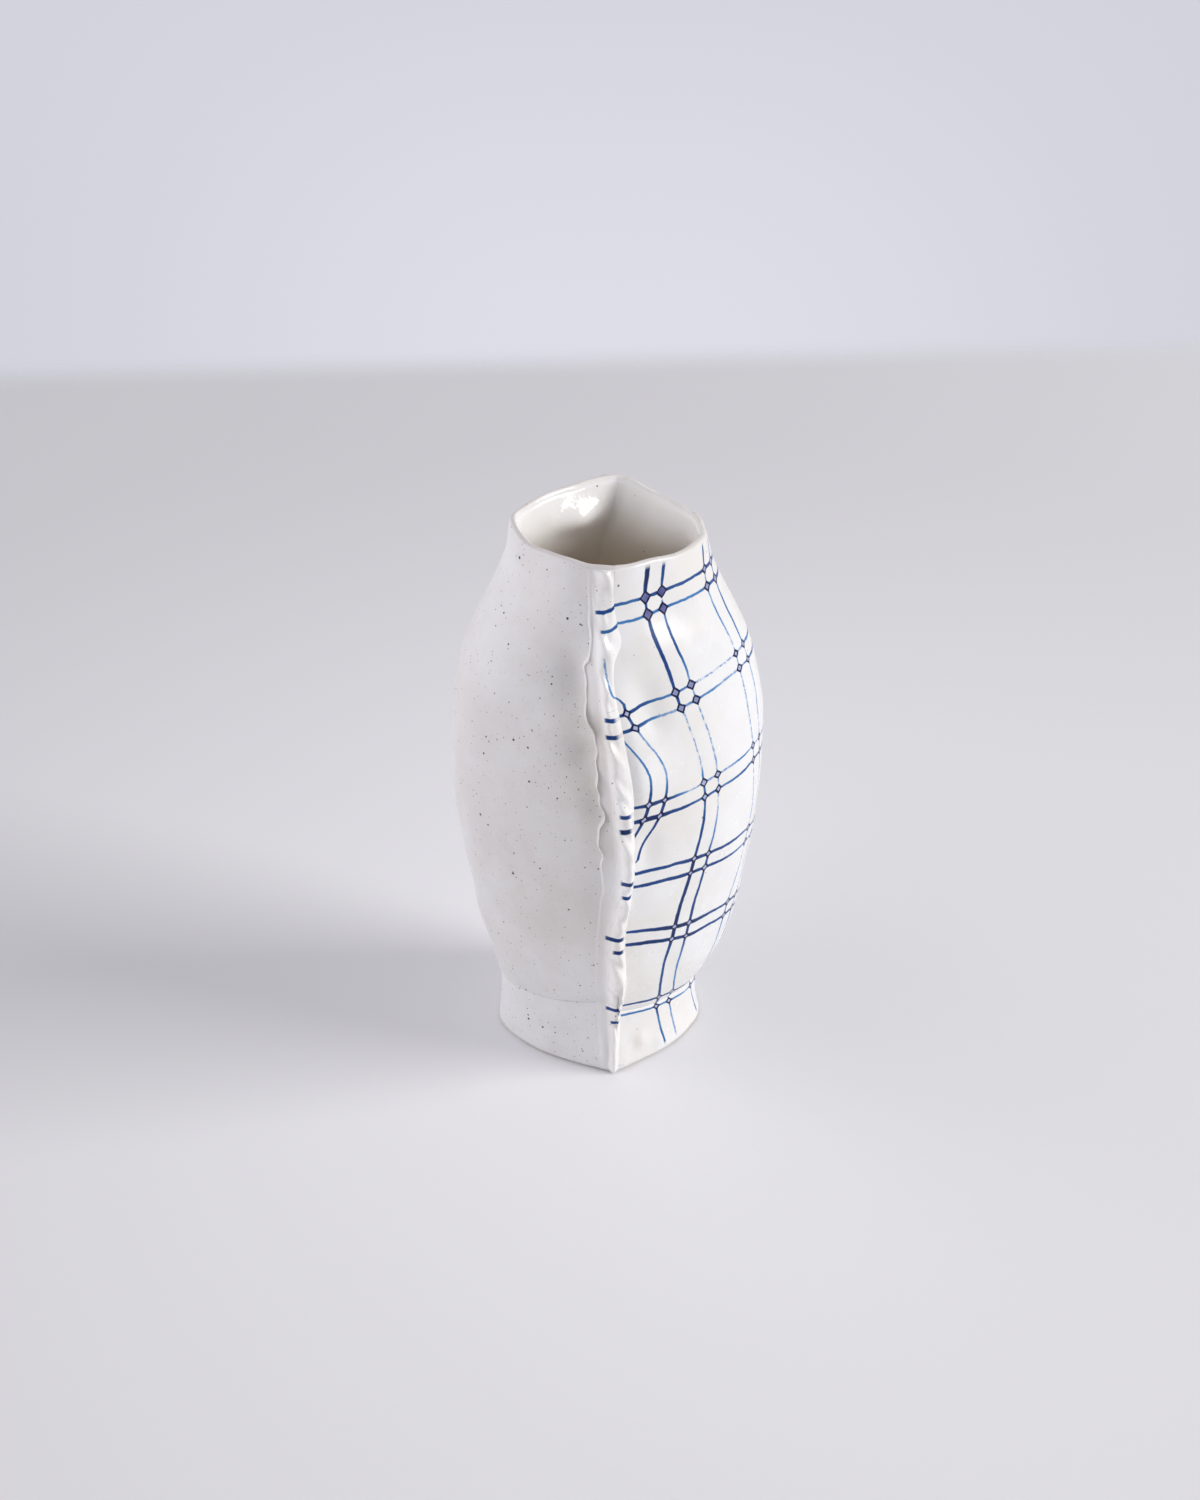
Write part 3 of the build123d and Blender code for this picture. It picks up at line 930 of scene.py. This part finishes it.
brush = {
    "uprightGap": 3.4,  # the two lines of a pair stand this far each side of its middle
    "levelGap": 2.9,
    "halfWidth": 0.42,
    "softness": 0.3,
    "wobble": 0.7,
    "ragged": 0.4,
    "raggedSize": 2.2,
    "uprightWave": 17.0,  # length of the wobble
    "levelWave": 13.0,
    "cloudSize": 26.0,  # the load comes and goes over this length
    "cloudLoad": 0.9,
    "ownLoad": 0.45,  # and differs from line to line
    "widening": 1.5,
    "leastWidth": 0.1,
    "core": 0.75,
    "rimSpan": (0.25, 0.9),
    # loads between which a line turns wet, blue, dark, and dark along its edges
    "wetLoads": (0.34, 0.58),
    "blueLoads": (0.45, 0.9),
    "darkLoads": (0.95, 1.5),
    "edgeLoads": (0.5, 0.85),
    "gritSize": 1.3,  # a dry line breaks up into grit
    "gritShades": (0.4, 0.56),
    "gritCover": (0.7, 0.15),
    "dark": (0.002, 0.019, 0.10, 1),
    "middle": (0.009, 0.055, 0.22, 1),
    "pale": (0.07, 0.25, 0.55, 1),
    # blots where two lines cross, darker round the edge, larger and filled where they grow
    "knotLow": 2.0,
    "knotHigh": 2.75,
    "knotRim": 1.05,
    "knotRagged": 0.9,
    "knotRaggedSize": 2.6,
    "knotSpread": 0.9,
    "knotSpreadSize": 11.0,
    "knotSoft": 0.15,
    "fillSoft": 0.1,
    "knotEdge": (0.006, 0.011, 0.06, 1),
    "knotLowFill": (0.38, 0.43, 0.64, 1),
    "knotHighFill": (0.045, 0.048, 0.20, 1),
}


def pairLines(tree, place, coordinate, gap, size, seed):
    # distance to the nearer line of the nearest pair, in millimetres, with a hand's wobble,
    # and that line's own load
    number = calc(tree, "FLOOR", calc(tree, "ADD", coordinate, 0.5))
    shifted = calc(tree, "SUBTRACT", coordinate, number)
    wobble = calc(tree, "MULTIPLY_ADD", noise(tree, place, size), 2 * brush["wobble"], -brush["wobble"])
    offset = calc(tree, "MULTIPLY_ADD", shifted, check["pitch"], wobble)
    away = calc(tree, "SUBTRACT", calc(tree, "ABSOLUTE", offset), gap)
    away = calc(tree, "MULTIPLY_ADD", noise(tree, place, brush["raggedSize"]), brush["ragged"], away)
    away = calc(tree, "SUBTRACT", away, brush["ragged"] / 2)
    name = put(tree, "ShaderNodeCombineXYZ", None, {0: number, 1: calc(tree, "SIGN", offset), 2: seed})
    load = put(tree, "ShaderNodeTexWhiteNoise", None, {"Vector": name.outputs[0]}).outputs["Value"]
    return calc(tree, "ABSOLUTE", away), load


def inkLine(tree, distance, load, clouds):
    # a line where the distance is under its width, which grows with the brush's load
    half = brush["halfWidth"]
    clouded = calc(tree, "MULTIPLY", clouds, brush["cloudLoad"])
    loaded = calc(tree, "MULTIPLY_ADD", load, brush["ownLoad"], clouded)
    width = calc(tree, "MULTIPLY_ADD", loaded, brush["widening"] * half, brush["leastWidth"] * half)
    outer = calc(tree, "ADD", width, brush["softness"])
    line = fade(tree, distance, outer, calc(tree, "MULTIPLY", width, brush["core"]))
    rim = fade(tree, distance, *(calc(tree, "MULTIPLY", width, share) for share in brush["rimSpan"]))
    return line, loaded, calc(tree, "MULTIPLY", line, rim)


def checkInk(tree, place):
    # lines both ways, a blot where both distances are small; ink thins and breaks up where the brush ran dry
    uv = put(tree, "ShaderNodeUVMap", {"uv_map": "checkMap"})
    axes = put(tree, "ShaderNodeSeparateXYZ", None, {0: uv.outputs[0]})
    clouds = calc(tree, "ADD", noise(tree, place, brush["cloudSize"], 3.0), attribute(tree, "brushLoad"))
    across, acrossLoad = pairLines(
        tree, place, axes.outputs[0], brush["uprightGap"], brush["uprightWave"], 1.0)
    along, alongLoad = pairLines(
        tree, place, axes.outputs[1], brush["levelGap"], brush["levelWave"], 2.0)
    upright, uprightInk, uprightRim = inkLine(tree, across, acrossLoad, clouds)
    level, levelInk, levelRim = inkLine(tree, along, alongLoad, clouds)
    line = calc(tree, "MAXIMUM", upright, level)
    rim = calc(tree, "MAXIMUM", uprightRim, levelRim)
    uprightInk = calc(tree, "MULTIPLY", upright, uprightInk)
    levelInk = calc(tree, "MULTIPLY", level, levelInk)
    loaded = calc(tree, "MAXIMUM", uprightInk, levelInk)
    growth = attribute(tree, "knotGrowth")
    ragged = noise(tree, place, brush["knotRaggedSize"])
    both = calc(tree, "MULTIPLY_ADD", ragged, brush["knotRagged"], calc(tree, "ADD", across, along))
    spread = noise(tree, place, brush["knotSpreadSize"])
    spread = calc(tree, "MULTIPLY_ADD", spread, brush["knotSpread"], brush["knotLow"])
    knotSize = calc(tree, "MULTIPLY_ADD", growth, brush["knotHigh"] - brush["knotLow"], spread)
    soft = brush["knotSoft"]
    knot = fade(tree, both, calc(tree, "ADD", knotSize, soft), calc(tree, "SUBTRACT", knotSize, soft))
    inside = calc(tree, "SUBTRACT", knotSize, brush["knotRim"])
    soft = brush["fillSoft"]
    filled = fade(tree, both, calc(tree, "ADD", inside, soft), calc(tree, "SUBTRACT", inside, soft))
    grit = fade(tree, noise(tree, place, brush["gritSize"], 3.0), *brush["gritShades"])
    wet = fade(tree, loaded, *brush["wetLoads"])
    dry = calc(tree, "MULTIPLY_ADD", grit, *brush["gritCover"])
    cover = calc(tree, "MULTIPLY", line, calc(tree, "MAXIMUM", wet, dry))
    cover = calc(tree, "MULTIPLY", calc(tree, "MAXIMUM", cover, knot), attribute(tree, "inkStrength"))
    heavy = fade(tree, loaded, *brush["darkLoads"])
    ink = mix(tree, fade(tree, loaded, *brush["blueLoads"]), brush["pale"], brush["middle"])
    ink = mix(tree, heavy, ink, brush["dark"])
    edge = mix(tree, heavy, brush["middle"], brush["dark"])
    ink = mix(tree, calc(tree, "MULTIPLY", rim, fade(tree, loaded, *brush["edgeLoads"])), ink, edge)
    fill = mix(tree, growth, brush["knotLowFill"], brush["knotHighFill"])
    ink = mix(tree, knot, ink, mix(tree, filled, brush["knotEdge"], fill))
    return cover, ink


def layered(tree, place, fine, broad, fineDetail, broadDetail):
    # sum of a fine and a broad noise, each with its size and share
    under = calc(tree, "MULTIPLY", noise(tree, place, broad[0], broadDetail), broad[1])
    return calc(tree, "MULTIPLY_ADD", noise(tree, place, fine[0], fineDetail), fine[1], under)


def glazeMaterial(name):
    glaze = glazes[name]
    material = bpy.data.materials.new(name)
    tree = emptyTree(material)
    place = put(tree, "ShaderNodeTexCoord").outputs["Object"]
    clouds = layered(tree, place, clouding["fine"], clouding["broad"], 4.0, 4.0)
    shade = fade(tree, clouds, *clouding["shades"])
    colour = mix(tree, shade, glaze["pale"], glaze["deep"])
    low, high = glaze["roughness"]
    spread = fade(tree, noise(tree, place, clouding["roughSize"], 3.0), *clouding["roughShades"])
    rough = calc(tree, "MULTIPLY_ADD", spread, high - low, low)
    if "beside" in glaze:
        other = glazes[glaze["beside"]]
        share = attribute(tree, "plainShare")
        colour = mix(tree, share, colour, mix(tree, shade, other["pale"], other["deep"]))
        rough = calc(tree, "MULTIPLY_ADD", share, other["roughness"][0] - low, rough)
    # painted shade: the inside glaze turns darker and warmer below the mouth
    if "insideShade" in glaze:
        height = put(tree, "ShaderNodeSeparateXYZ", None, {0: place}).outputs[2]
        colour = mix(tree, fade(tree, height, *glaze["insideShadeHeights"]), colour, glaze["insideShade"])
    # clay tone where the glaze is thin, also painted shade and contact shadow where the mask asks, broken up
    # by noise
    stain = fade(tree, noise(tree, place, clouding["stainSize"], 4.0), *clouding["stainShades"])
    stain = calc(tree, "MULTIPLY_ADD", stain, *clouding["stain"])
    colour = mix(tree, calc(tree, "MULTIPLY", attribute(tree, "clayAndShadeShow"), stain), colour, clayAndShadeColour)
    for cell, radius, share, depth in glaze["grains"]:
        grain = calc(tree, "MULTIPLY", speckles(tree, place, cell, radius, share), depth)
        colour = mix(tree, grain, colour, iron)
    shine = clouding["shine"]
    if glaze["check"]:
        cover, ink = checkInk(tree, place)
        colour = mix(tree, cover, colour, ink)
        shine = calc(tree, "MULTIPLY_ADD", cover, clouding["inkDulling"], shine)
    relief = layered(tree, place, clouding["fineRelief"], clouding["broadRelief"], 3.0, 2.0)
    bump = put(tree, "ShaderNodeBump", None, {
        "Strength": glaze["bump"], "Distance": clouding["reliefDepth"] * mm, "Height": relief,
    })
    shader = put(tree, "ShaderNodeBsdfPrincipled", None, {
        "Base Color": colour, "Roughness": rough, "Specular IOR Level": shine, "Normal": bump.outputs[0],
    })
    put(tree, "ShaderNodeOutputMaterial", None, {"Surface": shader.outputs[0]})
    return material


finish = {name: glazeMaterial(name) for name in glazes}
print("finishes:", ", ".join(finish))

for slabName, makeSlab, side, glazeName, node, slotName in (
    ("plainPanel", panelPiece, plainSide, "speckledStoneware", "plain_panel", "speckled_stoneware"),
    ("paintedPanel", panelPiece, paintedSide, "paintedGlaze", "painted_panel", "painted_glaze"),
    ("plainFootBand", footPiece, plainSide, "speckledStoneware", "plain_foot_band", "speckled_stoneware"),
    ("paintedFootBand", footPiece, paintedSide, "paintedGlaze", "painted_foot_band", "painted_glaze"),
):
    slab, slabFaces = makeSlab(slabName, side)
    setFaceMaterials(slab, [finish[glazeName], finish["insideGlaze"]], slabFaces)
    settle(slab, node)

for stripName, facing, node in (
    ("frontSeamStrip", frontSeam, "front_seam_strip"),
    ("rearSeamStrip", rearSeam, "rear_seam_strip"),
):
    strip = stripPiece(stripName, facing)
    strip.data.materials.append(finish["seamGlaze"])
    settle(strip, node)

floorSlab, floorFaces = floorPiece("floorSlab")
setFaceMaterials(floorSlab, [finish["bareClay"], finish["insideGlaze"]], floorFaces)
settle(floorSlab, "floor_slab")

floorCoil = coilPiece("floorCoil")
floorCoil.data.materials.append(finish["insideGlaze"])
settle(floorCoil, "floor_coil")


# Studio: pale table that fades into a pale wall, one large window light from the right

studio = {
    "tableSize": 0.76,
    "tableFade": 0.07,
    "tableTurn": -3.8,
    # painted light: the table is brighter round the vase and dims over this spread
    "paintedPoolNear": (0.87, 0.865, 0.875, 1),
    "paintedPoolFar": (0.715, 0.71, 0.72, 1),
    "paintedPoolSpread": 0.62,
    "wallLow": (0.727, 0.727, 0.803, 1),
    "wallHigh": (0.62, 0.625, 0.70, 1),
    "wallPaintedFalloff": (0.64, 0.65, 0.72, 1),
    # directions between which the wall, the light and the dim parts of the room pass into each other
    "wallRise": (-0.33, -0.05),
    "wallMiddle": 0.14,
    "wallSpread": (0.03, 0.32),
    "cardSpan": (-0.25, -0.95),
    "roomSpan": (-0.2, -1.1),
    "ceilingSpan": (0.2, 0.9),
    "fillColour": (0.985, 0.975, 1.035, 1),
    "fillStrength": 0.47,
    "cardStrength": 1.6,  # a pale wall on the left sends this much more light back
    "roomDim": 0.26,  # and the room on the left behind the camera this much less
    "ceilingDim": 0.14,  # as does the ceiling
    "windowPlace": (3.1, -0.85, 1.53),
    "windowAim": (0.0, 0.0, 0.10),
    "windowSize": (1.8, 1.5),
    "windowPower": 96.0,
    "windowColour": (1.0, 0.99, 1.0),
    "azimuth": -8.0,
    "elevation": 30.0,
    "distance": 0.731,
    "aimHeight": 0.113,
    "lens": 50.0,
    "sensor": 36.0,
}


def buildTable():
    size = studio["tableSize"]
    mesh = bpy.data.meshes.new("table")
    corners = [(-size, -size, 0), (size, -size, 0), (size, size, 0), (-size, size, 0)]
    mesh.from_pydata(corners, [], [(0, 1, 2, 3)])
    table = addObject("table", mesh)
    table.rotation_euler.z = np.radians(studio["tableTurn"])
    material = bpy.data.materials.new("paleTable")
    tree = emptyTree(material)
    place = put(tree, "ShaderNodeTexCoord").outputs["Object"]
    axes = put(tree, "ShaderNodeSeparateXYZ", None, {0: place})
    sideways, forwards = (calc(tree, "ABSOLUTE", axes.outputs[axis]) for axis in (0, 1))
    outwards = calc(tree, "MAXIMUM", sideways, forwards)
    solid = fade(tree, outwards, size - 0.005, size - studio["tableFade"])
    # painted pool of light round the vase, fading to a dimmer table farther out
    away = put(tree, "ShaderNodeVectorMath", {"operation": "LENGTH"}, {0: place}).outputs["Value"]
    colour = mix(tree, fade(tree, away, 0.0, studio["paintedPoolSpread"]), studio["paintedPoolNear"], studio["paintedPoolFar"])
    shader = put(tree, "ShaderNodeBsdfPrincipled", None, {
        "Base Color": colour, "Roughness": 0.55, "Alpha": solid,
    })
    put(tree, "ShaderNodeOutputMaterial", None, {"Surface": shader.outputs[0]})
    mesh.materials.append(material)


def buildWorld():
    # the wall's colour for what the camera and reflections see, plain fill light for the rest
    world = bpy.data.worlds.new("studioWorld")
    bpy.context.scene.world = world
    tree = emptyTree(world)
    direction = put(tree, "ShaderNodeTexCoord").outputs["Generated"]
    axes = put(tree, "ShaderNodeSeparateXYZ", None, {0: direction})
    wall = mix(tree, fade(tree, axes.outputs[2], *studio["wallRise"]), studio["wallLow"], studio["wallHigh"])
    # painted shade: the wall darkens towards both sides
    aside = calc(tree, "ABSOLUTE", calc(tree, "SUBTRACT", axes.outputs[0], studio["wallMiddle"]))
    wall = mix(tree, fade(tree, aside, *studio["wallSpread"]), wall, studio["wallPaintedFalloff"])
    card = fade(tree, axes.outputs[0], *studio["cardSpan"])
    strength = calc(tree, "MULTIPLY_ADD", card, studio["cardStrength"], studio["fillStrength"])
    behind = calc(tree, "MULTIPLY_ADD", axes.outputs[0], 0.7, axes.outputs[1])
    room = fade(tree, behind, *studio["roomSpan"])
    strength = calc(tree, "MULTIPLY_ADD", room, -studio["roomDim"], strength)
    ceiling = fade(tree, axes.outputs[2], *studio["ceilingSpan"])
    strength = calc(tree, "MULTIPLY_ADD", ceiling, -studio["ceilingDim"], strength)
    rays = put(tree, "ShaderNodeLightPath")
    seen = calc(tree, "MAXIMUM", rays.outputs["Is Camera Ray"], calc(
        tree, "MAXIMUM", rays.outputs["Is Glossy Ray"], rays.outputs["Is Transmission Ray"]))
    fill = put(tree, "ShaderNodeBackground", None, {0: studio["fillColour"], 1: strength})
    shown = put(tree, "ShaderNodeBackground", None, {0: wall, 1: 1.0})
    both = put(tree, "ShaderNodeMixShader", None, {0: seen, 1: fill.outputs[0], 2: shown.outputs[0]})
    put(tree, "ShaderNodeOutputWorld", None, {"Surface": both.outputs[0]})


def buildWindow():
    light = bpy.data.lights.new("window", "AREA")
    light.shape = "RECTANGLE"
    light.size, light.size_y = studio["windowSize"]
    light.energy = studio["windowPower"]
    light.color = studio["windowColour"]
    window = addObject("window", light)
    window.location = studio["windowPlace"]
    towards = Vector(studio["windowAim"]) - window.location
    window.rotation_euler = towards.to_track_quat("-Z", "Y").to_euler()


def buildCamera():
    lens = bpy.data.cameras.new("camera")
    lens.sensor_fit = "VERTICAL"
    lens.sensor_height = studio["sensor"]
    lens.lens = studio["lens"]
    camera = addObject("camera", lens)
    turn, rise = np.radians(studio["azimuth"]), np.radians(studio["elevation"])
    away = Vector((np.sin(turn) * np.cos(rise), -np.cos(turn) * np.cos(rise), np.sin(rise)))
    camera.location = Vector((0, 0, studio["aimHeight"])) + away * studio["distance"]
    camera.rotation_euler = (-away).to_track_quat("-Z", "Y").to_euler()
    bpy.context.scene.camera = camera


buildTable()
buildWorld()
buildWindow()
buildCamera()
bpy.context.scene.view_settings.view_transform = "Standard"
print("studio ready")
